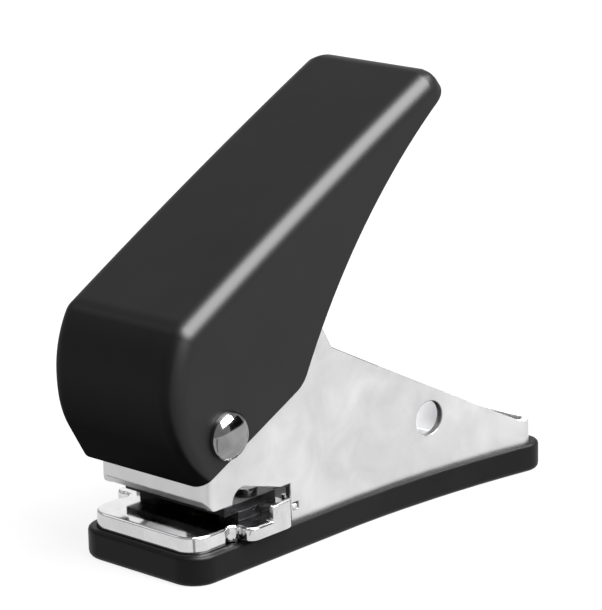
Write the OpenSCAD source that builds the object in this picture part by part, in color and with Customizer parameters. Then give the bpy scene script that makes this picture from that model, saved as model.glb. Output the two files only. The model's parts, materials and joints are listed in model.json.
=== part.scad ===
// Dart flight punch: a pressed steel frame, a moulded lever cover that drives a sprung pin, and a chip tray.
// Lengths are in millimetres, angles in degrees. In the modules y = 0 is the front face of the die plate,
// z = 0 is the table and x = 0 is the middle; place() puts the origin under the middle of the whole part.

/* [Frame] */
// Thickness of the frame's steel sheet
frame_sheet = 1.2; // [0.9:0.1:1.5]
// Outside width of the straight front part of the frame
frame_w = 25.8; // [24:0.2:29]
// Place of the frame's front band behind the die plate's front face
band_y = 3.3; // [2.8:0.1:3.8]
// Height of the front band's lower edge above the table
band_z = 13.6; // [13:0.1:14.4]
// Height of the front band from its lower edge to its top edge
band_h = 4.4; // [3.8:0.1:4.8]
// Bend radius of the frame's front corners, outside
band_r = 2.2; // [1.8:0.1:2.6]
// Place of the rear wall's outer face
frame_rear = 82.6; // [78:0.2:90]
// Bend radius of the frame's rear corners, outside
rear_r = 2.4; // [2:0.1:3]
// Plan radius on which the cheeks flare outwards to the rear
flare_r = 235; // [200:5:320]
// Place where the flare begins
flare_y = 33.7; // [30:0.1:38]
// Height of the cheeks' straight lower edge over the throat
jaw_z = 12; // [11.7:0.1:12.4]
// Place of the throat's rear end
throat_y = 22.9; // [22.7:0.1:23.8]
// Height of the rear wall's top edge
tail_z = 9.6; // [8:0.1:12]
// Length of the level stretch of the cheek in front of the rear wall
tail_l = 3.4; // [2:0.1:6]
// Place of the inside corner where the cheek's sloping edge meets its tower
shoulder_y = 33.9; // [31:0.1:36]
// Height of that corner
shoulder_z = 33.3; // [31:0.1:35]
// Height of the top of the cheek's tower
tower_z = 42.4; // [40:0.1:44]
// Radius of the round front of the sighting notch in the cheek's lower edge
notch_r = 2.5; // [2:0.1:2.8]
// Place of the front end of the sighting notch
notch_y = 9; // [8.4:0.1:9.6]
// Length of the sighting notch
notch_l = 11.6; // [10:0.1:13]
// Diameter of the hanging hole in the cheeks
hang_d = 6.2; // [5:0.1:8]
// Place of the hanging hole
hang_y = 57.5; // [52:0.5:62]
// Height of the hanging hole's axis
hang_z = 15; // [12:0.1:16]
// Width of the flanges turned in along the frame's foot
flange_w = 4; // [3:0.1:6]

/* [Die plate] */
// Thickness of the die plate's sheet
die_sheet = 1; // [0.8:0.1:1.2]
// Width of the front part of the die plate
die_w = 25; // [23:0.2:25.4]
// Plan radius of the die plate's front corners
die_r = 4; // [3:0.1:5]
// Height of the die plate's top face
die_z = 8.2; // [7.8:0.1:8.6]
// Depth of the skirt turned down from the front of the die plate
skirt_h = 3.1; // [2.8:0.05:3.3]
// Width of the die plate across its side lobes
lobe_w = 32.4; // [31:0.2:34]
// Place of the lobes' front wall
lobe_y = 9.9; // [9.4:0.1:10.4]
// Length of the lobes
lobe_l = 11.7; // [11.2:0.1:12.2]
// Plan radius of the lobes' front corners
lobe_front_r = 1.8; // [1.4:0.1:2.4]
// Plan radius of the lobes' rear corners
lobe_rear_r = 3.3; // [2.6:0.1:3.6]
// Depth of the wall turned down from the lobes
lobe_h = 2.25; // [1.9:0.05:2.5]
// Height of the ears above the die plate's top face
ear_h = 2.6; // [1.6:0.1:2.8]
// Place of the ears' front edge
ear_y = 15.2; // [14:0.1:16.4]

/* [Punch] */
// Diameter of the punch pin, and of the hole it makes
pin_d = 2.4; // [2:0.1:3]
// Place of the punch pin's axis behind the die plate's front face
pin_y = 14.7; // [14.3:0.1:15]
// Slot left between the die plate and the guide plate for the flight
slot_h = 1.6; // [1.2:0.1:2]
// Travel of the punch pin
stroke = 3; // [2.6:0.1:3.2]
// Thickness of the guide plate
guide_sheet = 1.55; // [1.2:0.05:1.8]
// Length of the guide plate
guide_l = 12.35; // [11.8:0.05:12.6]
// Place of the guide plate's front edge
guide_y = 8.3; // [8:0.1:8.6]
// Diameter of the punch pin's head
head_d = 6.4; // [6:0.1:7]
// Thickness of the punch pin's head
head_h = 1.2; // [1:0.1:1.4]
// Depth of the cam's contact below the pivot's axis at rest
cam_drop = 4.2; // [4:0.1:4.6]

/* [Return spring] */
// Wire diameter of the return spring
wire_d = 0.6; // [0.5:0.05:0.65]
// Mean diameter of the return spring's curls
spring_d = 5.4; // [5.2:0.1:5.8]
// Number of curls in the return spring
spring_curls = 5; // [4:1:6]

/* [Pivot] */
// Height of the pivot's axis
pivot_z = 25; // [24.6:0.1:25.6]
// Place of the pivot's axis
pivot_y = 6.6; // [6.3:0.1:6.9]
// Diameter of the pivot rivet's shank
pivot_d = 4; // [3.4:0.1:4.4]
// Diameter of the pivot rivet's domed heads
dome_d = 8.3; // [7.8:0.1:9.4]
// Height of the domed heads
dome_h = 2.4; // [1.8:0.1:3]
// Wall of the spacer sleeve between the cheeks
sleeve_wall = 0.95; // [0.8:0.05:1.2]

/* [Lever cover] */
// Gap between a cheek and the cover's side wall
cover_gap = 0.4; // [0.3:0.05:1]
// Wall of the lever cover
cover_wall = 1.2; // [1:0.1:1.4]
// Radius of the cover's long outside edges
cover_r = 3.4; // [2.4:0.1:3.8]
// Slope of the cover's back at rest
cover_slope = 27.1; // [26.6:0.1:27.6]
// Height of the cover's back over the pivot, square to the slope
back_v = 22.1; // [21.6:0.05:22.8]
// Radius of the slight crown along the cover's back
crown_r = 1150; // [800:50:1600]
// Place of the crown's highest point behind the pivot, along the slope
crown_u = 42.8; // [36:0.2:50]
// Length of the cover behind the pivot, along the slope
cover_u = 72.2; // [68:0.2:76]
// Radius of the edge between the cover's back and its rear end
end_r = 3.2; // [2:0.1:3.4]
// Radius of the round nose, seen from the side
nose_r = 19.9; // [19.2:0.1:20.6]
// Place of the nose radius's centre behind the die plate's front face
nose_y = 14.3; // [14:0.1:14.7]
// Height of the nose radius's centre
nose_z = 33.3; // [33:0.1:33.7]
// Angle of the nose's straight lower stretch from the vertical
chin_angle = 30; // [28:0.5:32]
// Height of the cover's lowest edge
cover_z = 17.05; // [16.8:0.05:17.6]
// Place where the flap's sloping lower edge begins
flap_front_y = 0.2; // [-0.4:0.1:1]
// Slope of the flap's lower front edge at rest
flap_slope = 25.6; // [24.6:0.2:26.6]
// Place of the corner where the flap's lower edge turns upwards
flap_y = 25.3; // [24.8:0.1:25.8]
// Radius of that corner
flap_corner_r = 5; // [3:0.5:8]
// Slope of the flap's rear edge just above the corner
flap_turn = 63.6; // [63:0.1:64.2]
// Radius of the flap's long hollow rear edge
flap_r = 115.5; // [112:0.5:120]
// Radius of the cover's rear plan corners
tail_r = 6.3; // [4:0.1:7]

/* [Lever channel] */
// Thickness of the steel channel inside the cover
channel_sheet = 1.2; // [1:0.1:1.6]
// Outside width of the channel
channel_w = 18; // [16:0.2:19]
// Length of the channel behind the pivot, along the slope
channel_u = 48; // [44:0.5:52]
// Gap between the cover's back and the channel's web, filled by the screw bosses
boss_h = 3.6; // [3:0.1:4.2]
// Diameter of the screw bosses
boss_d = 6; // [5:0.1:7]
// Diameter of the cover screws
screw_d = 2.4; // [2:0.1:2.8]
// Width of the punch cam
cam_w = 6; // [4:0.2:8]
// Diameter of the cam's cross pin
cam_pin_d = 2.5; // [2:0.1:3]

/* [Chip tray] */
// Height of the chip tray's rim above the table
tray_h = 5.3; // [4.8:0.05:5.5]
// Wall of the tray beside the frame
tray_wall = 1; // [0.8:0.1:1.6]
// Thickness of the tray's floor
tray_floor = 1.2; // [1:0.1:1.6]
// Wall of the tray in front of the die plate
tray_front = 1.2; // [1:0.1:1.6]
// Wall of the tray behind the frame
tray_rear = 1.9; // [1.2:0.1:3]
// Plan radius of the tray's front corners
tray_front_r = 4.9; // [4:0.1:5.4]
// Plan radius of the tray's rear corners
tray_rear_r = 3.6; // [2.6:0.1:4.6]
// Radius of the edge round the tray's foot
foot_r = 1.1; // [0.6:0.1:1.2]
// Radius of the edge round the tray's rim
rim_r = 0.7; // [0.3:0.1:0.8]

/* [Hidden] */

// Clearances: a running fit, a piece that is pressed or dropped in, a loose side gap and a cut's overrun
run_gap = 0.05;
seat_gap = 0.02;
side_gap = 0.1;
overrun = 1;

// Facets of small, middling and very large curves
small_fn = 48;
mid_fn = 120;
large_fn = 720;

// Places worked out from the sizes above
frame_half = frame_w / 2;
frame_in = frame_half - frame_sheet;
flare_x = frame_half + flare_r;
floor_z = tray_floor;
band_top = band_z + band_h;
tray_y0 = -side_gap - tray_front;
tray_y1 = frame_rear + side_gap + tray_rear;
tray_off = side_gap + tray_wall;
nose_front = nose_y - nose_r;
mid_y = (nose_front + tray_y1) / 2;
lever_arm = pin_y - pivot_y;
press_angle = stroke / lever_arm * 180 / PI;
die_under = die_z - die_sheet;
guide_z = die_z + slot_h;
guide_top = guide_z + guide_sheet;
guide_w = 2 * (frame_in - side_gap);
cover_in = frame_half + cover_gap;
cover_half = cover_in + cover_wall;
cover_w = 2 * cover_half;
channel_half = channel_w / 2;

// Moves a piece from the die plate's front face to the middle of the part
module place() {
    translate([0, -mid_y, 0]) children();
}

// Repeats a piece on the left side
module both_sides() {
    for (side = [0, 1]) mirror([side, 0, 0]) children();
}

// Extrudes a side view, drawn as [y, z], across the width w
module side_view(w) {
    rotate([90, 0, 90]) translate([0, 0, -w / 2]) linear_extrude(w) children();
}

// A round bar or hole across the part, from x = -w / 2 to x = w / 2
module across(d, w, y, z) {
    translate([-w / 2, y, z]) rotate([0, 90, 0]) cylinder(d = d, h = w, $fn = small_fn);
}

// Points along an arc about c, from angle a0 to angle a1
function arc(c, r, a0, a1, steps) =
    [for (i = [0:steps]) let (a = a0 + (a1 - a0) * i / steps) [c[0] + r * cos(a), c[1] + r * sin(a)]];

// Angle through which a flared side, moved outwards by off, turns before its rear corner of radius rr
function flare_turn(off, y1, rr) = asin((y1 - rr - flare_y) / (flare_r - off + rr));
// Half width between the centres of the rear corners
function corner_x(off, y1, rr) = flare_x - (flare_r - off + rr) * cos(flare_turn(off, y1, rr));

// Plan of the frame moved outwards by off, from y0 to y1, with round front and rear corners
module outline(off, y0, y1, rf, rr) {
    h = frame_half + off;
    turn = flare_turn(off, y1, rr);
    cx = corner_x(off, y1, rr);
    tangent_y = y1 - rr - rr * sin(turn);
    difference() {
        union() {
            translate([-h, y0 + rf]) square([2 * h, flare_y - y0 - rf]);
            translate([rf - h, y0]) square([2 * (h - rf), rf]);
            translate([-flare_x, flare_y]) square([2 * flare_x, tangent_y - flare_y]);
            translate([-cx, tangent_y]) square([2 * cx, y1 - tangent_y]);
            for (side = [-1, 1]) {
                translate([side * (h - rf), y0 + rf]) circle(rf, $fn = small_fn);
                translate([side * cx, y1 - rr]) circle(rr, $fn = small_fn);
            }
        }
        for (side = [-1, 1]) intersection() {
            translate([side * flare_x, flare_y]) circle(flare_r - off, $fn = large_fn);
            translate([(side - 1) / 2 * flare_x, flare_y]) square([flare_x, tangent_y - flare_y]);
        }
    }
}

// Points of that plan at height z, with its curves in short steps
corner_steps = 8;
flare_steps = 16;

function outline_ring(off, y0, y1, rf, rr, z) =
    let (
        h = frame_half + off,
        turn = flare_turn(off, y1, rr),
        right = concat(
            arc([h - rf, y0 + rf], rf, -90, 0, corner_steps),
            arc([flare_x, flare_y], flare_r - off, 180, 180 - turn, flare_steps),
            arc([corner_x(off, y1, rr), y1 - rr], rr, -turn, 90, corner_steps)
        )
    )
    concat(
        [for (p = right) [p[0], p[1], z]],
        [for (i = [len(right) - 1:-1:0]) [-right[i][0], right[i][1], z]]
    );

// A closed solid through rings of equally many points, the lowest ring first
module stacked(rings) {
    n = len(rings[0]);
    last = len(rings) - 1;
    polyhedron(
        points = [for (ring = rings) each ring],
        faces = concat(
            [[for (i = [0:n - 1]) i]],
            [[for (i = [n - 1:-1:0]) last * n + i]],
            [for (k = [1:last], i = [0:n - 1]) [(k - 1) * n + i, k * n + i, k * n + (i + 1) % n]],
            [for (k = [1:last], i = [0:n - 1])
                [(k - 1) * n + i, k * n + (i + 1) % n, (k - 1) * n + (i + 1) % n]]
        )
    );
}

// Side frame
// Height of the cheek's level front top, over the lever's foot
cheek_front_z = 32;
// Place of the front end of the tower's top, and how far its rear corner is cut
tower_y = 13;
tower_rear_y = 30.6;
tower_cut = 3.4;
// The chin between the band's lower edge and the cheek's
chin_y0 = 3.4;
chin_y1 = 4.6;
notch_steps = 12;
// Slots behind the throat for the die plate's tabs: distance from the throat, length, room over the tab
tab_slot_y = 0.6;
tab_slot_l = 1.3;
tab_slot_head = 0.2;
arm_y = lobe_y + die_sheet + side_gap;
flange_y = 30;

module frame_side() {
    tangent = acos(notch_r / (notch_l - notch_r));
    hook_y = frame_rear - tail_l;
    polygon(concat(
        [
            [band_y - overrun, band_z],
            [chin_y0, band_z],
            [chin_y1, jaw_z]
        ],
        arc([notch_y + notch_r, jaw_z], notch_r, 180, tangent, notch_steps),
        [
            [notch_y + notch_l, jaw_z],
            [throat_y, jaw_z],
            [throat_y, die_under],
            [arm_y, die_under],
            [arm_y, floor_z],
            [frame_rear + overrun, floor_z],
            [frame_rear + overrun, tail_z],
            [hook_y, tail_z],
            [shoulder_y, shoulder_z],
            [tower_rear_y, tower_z - tower_cut],
            [tower_rear_y - tower_cut, tower_z],
            [tower_y, tower_z],
            [band_y - overrun, cheek_front_z]
        ]
    ));
}

module side_frame() {
    color("silver") place() difference() {
        union() {
            intersection() {
                linear_extrude(tower_z) difference() {
                    outline(0, band_y, frame_rear, band_r, rear_r);
                    outline(-frame_sheet, band_y + frame_sheet, frame_rear - frame_sheet,
                        band_r - frame_sheet, rear_r - frame_sheet);
                }
                side_view(2 * frame_rear) frame_side();
            }
            translate([0, 0, floor_z]) linear_extrude(frame_sheet) intersection() {
                difference() {
                    outline(0, band_y, frame_rear, band_r, rear_r);
                    outline(-flange_w, band_y + flange_w, frame_rear - flange_w, band_r, rear_r);
                }
                translate([-frame_rear, flange_y]) square([2 * frame_rear, frame_rear]);
            }
        }
        translate([band_r - frame_half, band_y - overrun, band_top])
            cube([frame_w - 2 * band_r, frame_sheet + 2 * overrun, tower_z]);
        across(pivot_d + 2 * run_gap, 2 * frame_w, pivot_y, pivot_z);
        across(hang_d, 2 * frame_w, hang_y, hang_z);
        translate([-frame_w, throat_y + tab_slot_y, die_under])
            cube([2 * frame_w, tab_slot_l, die_sheet + tab_slot_head]);
    }
}

// Die plate
die_half = die_w / 2;
lobe_half = lobe_w / 2;
tab_y = throat_y + tab_slot_y + side_gap;
tab_l = tab_slot_l - 2 * side_gap;
bush_d = 4.8;
rivet_d = 2.5;
rivet_edge = 3.6;
rivet_x = guide_w / 2 - rivet_edge;
rivet_y = 17;
relief_r = 1.5;
relief_y = 8.6;
relief_x = die_half + 1;

// Plan of the die plate's front part, moved outwards by off
module die_front(off) {
    h = die_half + off;
    r = die_r + off;
    translate([-h, r - off]) square([2 * h, lobe_y + die_sheet - r + off]);
    translate([r - h, -off]) square([2 * (h - r), r]);
    for (side = [-1, 1]) translate([side * (h - r), r - off]) circle(r, $fn = small_fn);
}

// Plan of its lobes, moved outwards by off
module die_lobes(off) {
    h = lobe_half + off;
    rf = lobe_front_r + off;
    rr = lobe_rear_r + off;
    y0 = lobe_y - off;
    y1 = lobe_y + lobe_l + off;
    translate([-h, y0 + rf]) square([2 * h, y1 - y0 - rf - rr]);
    translate([rf - h, y0]) square([2 * (h - rf), rf]);
    translate([rr - h, y1 - rr]) square([2 * (h - rr), rr]);
    for (side = [-1, 1]) {
        translate([side * (h - rf), y0 + rf]) circle(rf, $fn = small_fn);
        translate([side * (h - rr), y1 - rr]) circle(rr, $fn = small_fn);
    }
}

// The part of a plan that lies outside the frame's arms
module outside_arms() {
    inner = frame_half + side_gap / 2;
    difference() {
        translate([-frame_w, lobe_y]) square([2 * frame_w, 2 * lobe_l]);
        translate([-inner, 0]) square([2 * inner, frame_w + 2 * lobe_l]);
    }
}

module die_plate() {
    color("lightgray") place() difference() {
        union() {
            translate([0, 0, die_under]) linear_extrude(die_sheet) {
                die_front(0);
                die_lobes(0);
                translate([-guide_w / 2, lobe_y]) square([guide_w, tab_y + tab_l - lobe_y]);
                translate([side_gap - frame_half, tab_y]) square([frame_w - 2 * side_gap, tab_l]);
            }
            translate([0, 0, die_z - skirt_h]) linear_extrude(skirt_h) difference() {
                die_front(0);
                die_front(-die_sheet);
                translate([-die_half - overrun, lobe_y]) square([die_w + 2 * overrun, 2 * lobe_l]);
            }
            translate([0, 0, die_z - lobe_h]) linear_extrude(lobe_h) intersection() {
                difference() {
                    die_lobes(0);
                    die_lobes(-die_sheet);
                }
                difference() {
                    union() {
                        outside_arms();
                        translate([-lobe_half, lobe_y]) square([lobe_w, die_sheet]);
                    }
                    translate([die_sheet - die_half, 0]) square([die_w - 2 * die_sheet, 2 * lobe_y]);
                }
            }
            translate([0, 0, die_z - die_sheet / 2]) linear_extrude(ear_h + die_sheet / 2) intersection() {
                difference() {
                    die_lobes(0);
                    die_lobes(-die_sheet);
                }
                outside_arms();
                translate([-lobe_half, ear_y]) square([lobe_w, lobe_l]);
            }
        }
        translate([0, pin_y, die_z - lobe_h])
            cylinder(d = bush_d + 2 * seat_gap, h = 2 * lobe_h, $fn = small_fn);
        both_sides() {
            translate([rivet_x, rivet_y, die_z - lobe_h])
                cylinder(d = rivet_d + 2 * seat_gap, h = 2 * lobe_h, $fn = small_fn);
            translate([relief_x, relief_y, 0]) cylinder(r = relief_r, h = 2 * die_z, $fn = small_fn);
        }
    }
}

module die_bush() {
    bush_h = 2.3;
    color("dimgray") place() translate([0, pin_y, die_z - bush_h]) difference() {
        cylinder(d = bush_d, h = bush_h, $fn = small_fn);
        translate([0, 0, -overrun])
            cylinder(d = pin_d + 2 * run_gap, h = bush_h + 2 * overrun, $fn = small_fn);
    }
}

// Flight stop: a spacer whose notch takes the flight's corner
stop_land = 1;
stop_mouth = guide_w - 2 * stop_land;
stop_depth = 10.3;

module flight_stop() {
    half = guide_w / 2;
    color("dimgray") place() translate([0, 0, die_z]) difference() {
        linear_extrude(slot_h) polygon([
            [-half, guide_y], [-stop_mouth / 2, guide_y], [0, guide_y + stop_depth],
            [stop_mouth / 2, guide_y], [half, guide_y],
            [half, guide_y + guide_l], [-half, guide_y + guide_l]
        ]);
        both_sides() translate([rivet_x, rivet_y, -overrun])
            cylinder(d = rivet_d + 2 * seat_gap, h = slot_h + 2 * overrun, $fn = small_fn);
    }
}

// Guide plate and its bush
guide_bush_d = 4.4;
bush_flange_d = 7;
bush_flange_h = 0.7;

module guide_plate() {
    color("silver") place() difference() {
        translate([-guide_w / 2, guide_y, guide_z]) cube([guide_w, guide_l, guide_sheet]);
        translate([0, pin_y, guide_z - overrun])
            cylinder(d = guide_bush_d + 2 * seat_gap, h = guide_sheet + 2 * overrun, $fn = small_fn);
        both_sides() translate([rivet_x, rivet_y, guide_z - overrun])
            cylinder(d = rivet_d + 2 * seat_gap, h = guide_sheet + 2 * overrun, $fn = small_fn);
    }
}

module guide_bush() {
    color("goldenrod") place() translate([0, pin_y, guide_z]) difference() {
        union() {
            cylinder(d = guide_bush_d, h = guide_sheet + bush_flange_h, $fn = small_fn);
            translate([0, 0, guide_sheet]) cylinder(d = bush_flange_d, h = bush_flange_h, $fn = small_fn);
        }
        translate([0, 0, -overrun])
            cylinder(d = pin_d + 2 * run_gap, h = guide_sheet + bush_flange_h + 2 * overrun, $fn = small_fn);
    }
}

// Two rivets that hold the guide plate, the stop and the die plate together
rivet_head_d = 4.2;
rivet_head_h = 0.9;

module jaw_rivets() {
    grip = die_sheet + slot_h + guide_sheet;
    color("silver") place() both_sides() translate([rivet_x, rivet_y, die_under]) {
        cylinder(d = rivet_d, h = grip, $fn = small_fn);
        translate([0, 0, grip]) cylinder(d = rivet_head_d, h = rivet_head_h, $fn = small_fn);
        translate([0, 0, -rivet_head_h]) cylinder(d = rivet_head_d, h = rivet_head_h, $fn = small_fn);
    }
}

// Pivot
sleeve_d = pivot_d + 2 * run_gap + 2 * sleeve_wall;

module pivot_sleeve() {
    color("gray") place() difference() {
        across(sleeve_d, 2 * frame_in, pivot_y, pivot_z);
        across(pivot_d + 2 * run_gap, frame_w, pivot_y, pivot_z);
        // Its ends are cut back at the front, where the cheeks bend inwards
        both_sides() translate([frame_half - band_r - side_gap, band_y, pivot_z - sleeve_d])
            cube([band_r, band_r + side_gap, 2 * sleeve_d]);
    }
}

// Rings on the sleeve that keep the cam in the middle of the channel
spacer_d = 8;

module cam_spacers() {
    ring_h = channel_half - channel_sheet - cam_w / 2 - 2 * run_gap;
    color("gray") place() both_sides()
        translate([cam_w / 2 + run_gap, pivot_y, pivot_z]) rotate([0, 90, 0]) difference() {
            cylinder(d = spacer_d, h = ring_h, $fn = small_fn);
            translate([0, 0, -overrun])
                cylinder(d = sleeve_d + 2 * run_gap, h = ring_h + 2 * overrun, $fn = small_fn);
        }
}

// Washers between the cheeks and the lever cover
washer_land = 2;
washer_d = pivot_d + 2 * washer_land;
washer_gap = 0.04;

module pivot_washers() {
    washer_h = cover_in - frame_half - washer_gap;
    color("white") place() both_sides()
        translate([frame_half + washer_gap, pivot_y, pivot_z]) rotate([0, 90, 0]) difference() {
            cylinder(d = washer_d, h = washer_h, $fn = small_fn);
            translate([0, 0, -overrun])
                cylinder(d = pivot_d + 2 * run_gap, h = washer_h + 2 * overrun, $fn = small_fn);
        }
}

// Height of the straight rim under each dome
dome_rim = 0.5;

module pivot_rivet() {
    cap_h = dome_h - dome_rim;
    ball_r = (pow(dome_d / 2, 2) + pow(cap_h, 2)) / (2 * cap_h);
    color("silver") place() {
        across(pivot_d, cover_w, pivot_y, pivot_z);
        both_sides() translate([cover_half, pivot_y, pivot_z]) rotate([0, 90, 0]) {
            cylinder(d = dome_d, h = dome_rim, $fn = small_fn);
            intersection() {
                translate([0, 0, dome_h - ball_r]) sphere(ball_r, $fn = mid_fn);
                cylinder(d = dome_d, h = dome_h + overrun, $fn = mid_fn);
            }
        }
    }
}

// Punch pin, its spring cup and the return spring
cam_gap = 0.06;
head_top = pivot_z - cam_drop - cam_gap;
tip_rise = 0.1;
pin_tip = guide_z + tip_rise;
cup_h = 0.6;
cup_d = 6.8;
cup_top = head_top - head_h - seat_gap;

module punch_pin() {
    color("gray") place() translate([0, pin_y, 0]) {
        translate([0, 0, pin_tip]) cylinder(d = pin_d, h = head_top - pin_tip, $fn = small_fn);
        translate([0, 0, head_top - head_h]) cylinder(d = head_d, h = head_h, $fn = small_fn);
    }
}

module spring_cup() {
    color("silver") place() translate([0, pin_y, cup_top - cup_h]) difference() {
        cylinder(d = cup_d, h = cup_h, $fn = small_fn);
        translate([0, 0, -overrun])
            cylinder(d = pin_d + 2 * run_gap, h = cup_h + 2 * overrun, $fn = small_fn);
    }
}

spring_z0 = guide_top + bush_flange_h + seat_gap;
spring_z1 = cup_top - cup_h - seat_gap;
rings_per_curl = 8;
wire_sides = 6;
spring_rise = spring_z1 - spring_z0 - 2 * wire_d;
spring_steps = spring_curls * rings_per_curl;

// A point on the spring's axis line at share t of its wound length
function curl_point(t) = [
    spring_d / 2 * cos(360 * spring_curls * t),
    spring_d / 2 * sin(360 * spring_curls * t),
    spring_z0 + wire_d + spring_rise * t
];
spring_path = concat(
    [[spring_d / 2, 0, spring_z0], [spring_d / 2, 0, spring_z0 + wire_d / 2]],
    [for (i = [1:spring_steps - 1]) curl_point(i / spring_steps)],
    [[spring_d / 2, 0, spring_z1 - wire_d / 2], [spring_d / 2, 0, spring_z1]]
);
curl_gap = spring_rise / spring_curls - wire_d;
echo("least gap between the spring's curls", curl_gap);

function unit(v) = v / norm(v);
// Direction of a path at point i: straight up at both ends, along its neighbours between
function heading(path, i) =
    i < 2 || i > len(path) - 3 ? [0, 0, 1] : unit(path[i + 1] - path[i - 1]);

// A tube of diameter d along a path that climbs about the z axis
module tube(path, d, sides) {
    points = [for (i = [0:len(path) - 1], k = [0:sides - 1])
        let (
            along = heading(path, i),
            outward = unit([path[i][0], path[i][1], 0]),
            level = unit(outward - (outward * along) * along),
            up = cross(along, level),
            a = 360 * k / sides
        )
        path[i] + d / 2 * (cos(a) * level + sin(a) * up)];
    last = (len(path) - 1) * sides;
    faces = concat(
        [for (k = [1:sides - 2]) [0, k, k + 1]],
        [for (k = [1:sides - 2]) [last, last + k + 1, last + k]],
        [for (i = [0:len(path) - 2], k = [0:sides - 1])
            let (a = i * sides + k, b = i * sides + (k + 1) % sides) [a, a + sides, b]],
        [for (i = [0:len(path) - 2], k = [0:sides - 1])
            let (a = i * sides + k, b = i * sides + (k + 1) % sides) [b, a + sides, b + sides]]
    );
    polyhedron(points = points, faces = faces);
}

module return_spring() {
    color("lightgray") place() translate([0, pin_y, 0]) tube(spring_path, wire_d, wire_sides);
}

// Lever cover. Its sloping parts are drawn as [u, v]: u runs along the slope from the pivot, v square to it
far = 2 * cover_u;
nose_join = 8.6;
nose_start = 100;
edge_steps = 6;
boss_us = [10, 38];
web_v = back_v - cover_wall - boss_h;
screw_bite = 3.4;

// Height of the cover's back at u
function crown_v(u) = back_v - crown_r + sqrt(pow(crown_r, 2) - pow(u - crown_u, 2));
// Turns a side-view point [y, z] into [u, v]
function slope_uv(p) = [
    (p[0] - pivot_y) * cos(cover_slope) + (p[1] - pivot_z) * sin(cover_slope),
    (p[1] - pivot_z) * cos(cover_slope) - (p[0] - pivot_y) * sin(cover_slope)
];

module on_slope() {
    translate([0, pivot_y, pivot_z]) rotate([cover_slope, 0, 0]) children();
}

// Section of the cover, drawn as [outwards, sideways]: its face is at 0 and both edges are round
module round_section(half, r, depth) {
    translate([-depth, -half]) square([depth - r, 2 * half]);
    translate([-depth, r - half]) square([depth, 2 * (half - r)]);
    for (side = [-1, 1]) translate([-r, side * (half - r)]) circle(r, $fn = small_fn);
}

// The same section with its edges rounded in steps
module stepped_section(half, r, depth) {
    polygon(concat(
        [[-depth, -half]],
        arc([-r, r - half], r, -90, 0, edge_steps),
        arc([-r, half - r], r, 0, 90, edge_steps),
        [[-depth, half]]
    ));
}

// Outer form of the cover, drawn in by inset
module cover_form(inset) {
    half = cover_half - inset;
    r = cover_r - inset;
    nose = nose_r - inset;
    chin_y = nose_y - nose * cos(chin_angle);
    chin_z = nose_z - nose * sin(chin_angle);
    end_u = cover_u - inset;
    end_v = crown_v(end_u) - inset;
    round_end = max(end_r - inset, end_r / 2);
    intersection() {
        translate([-cover_w, -cover_w, 0]) cube([2 * cover_w, 4 * cover_w, 3 * cover_w]);
        // The crowned back
        on_slope() translate([0, crown_u, back_v - crown_r]) rotate([0, 90, 0])
            rotate_extrude($fn = large_fn) translate([crown_r - inset, 0]) round_section(half, r, far);
        // The round nose, the straight chin below it, and all that lies behind them
        union() {
            translate([0, nose_y, nose_z]) rotate([90, 0, 90]) rotate([0, 0, nose_start])
                rotate_extrude(angle = 180 - nose_start + chin_angle, $fn = mid_fn)
                    translate([nose, 0]) stepped_section(half, r, nose - overrun);
            translate([0, chin_y, chin_z]) rotate([chin_angle, 0, 0]) rotate([0, 0, -90])
                translate([0, 0, -far]) linear_extrude(far) stepped_section(half, r, nose);
            translate([-cover_w, nose_y - nose_join, -far]) cube([2 * cover_w, 2 * far, 2 * far]);
        }
        // The rear end's plan corners
        on_slope() translate([0, end_u, -far]) rotate([0, 0, 90])
            linear_extrude(2 * far) round_section(half, tail_r - inset, far);
        // The round edge between back and rear end
        on_slope() side_view(cover_w + 2 * overrun) {
            translate([-far, -far]) square([far + end_u - round_end, 2 * far]);
            translate([-far, -far]) square([far + end_u, far + end_v - round_end]);
            translate([end_u - round_end, end_v - round_end]) circle(round_end, $fn = small_fn);
        }
    }
}

// Side view of all that lies above the cover's lower edge
flap_steps = 6;
hollow_steps = 28;
hollow_end = 118;

module above_flap() {
    corner = [flap_y, cover_z + (flap_y - flap_front_y) * tan(flap_slope)];
    cut = flap_corner_r * tan((flap_turn - flap_slope) / 2);
    corner_c = corner + [
        -cut * cos(flap_slope) - flap_corner_r * sin(flap_slope),
        -cut * sin(flap_slope) + flap_corner_r * cos(flap_slope)
    ];
    hollow_c = corner + flap_r * [sin(flap_turn), -cos(flap_turn)];
    hollow_start = flap_turn - cut / flap_r * 180 / PI;
    polygon(concat(
        [[-cover_u, cover_z], [flap_front_y, cover_z]],
        arc(corner_c, flap_corner_r, flap_slope - 90, flap_turn - 90, flap_steps),
        arc(hollow_c, flap_r, hollow_start + 90, hollow_end, hollow_steps),
        [[far, far], [-cover_u, far]]
    ));
}

module lever_cover() {
    color("#2b2b2e") place() difference() {
        union() {
            difference() {
                intersection() {
                    cover_form(0);
                    side_view(cover_w + 2 * overrun) above_flap();
                }
                cover_form(cover_wall);
            }
            on_slope() for (u = boss_us) translate([0, u, web_v])
                cylinder(d = boss_d, h = crown_v(u) - cover_wall / 2 - web_v, $fn = small_fn);
        }
        on_slope() for (u = boss_us) translate([0, u, web_v - overrun])
            cylinder(d = screw_d + 2 * seat_gap, h = screw_bite + overrun + side_gap, $fn = small_fn);
        across(pivot_d + 2 * seat_gap, 2 * cover_w, pivot_y, pivot_z);
    }
}

// Steel channel screwed under the cover
web_front_u = 0.5;
channel_tail_v = 13.2;
foot_y0 = 2.6;
foot_y1 = 9.5;
cam_pin_y = 3.4;
cam_pin_z = 6.2;

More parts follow.
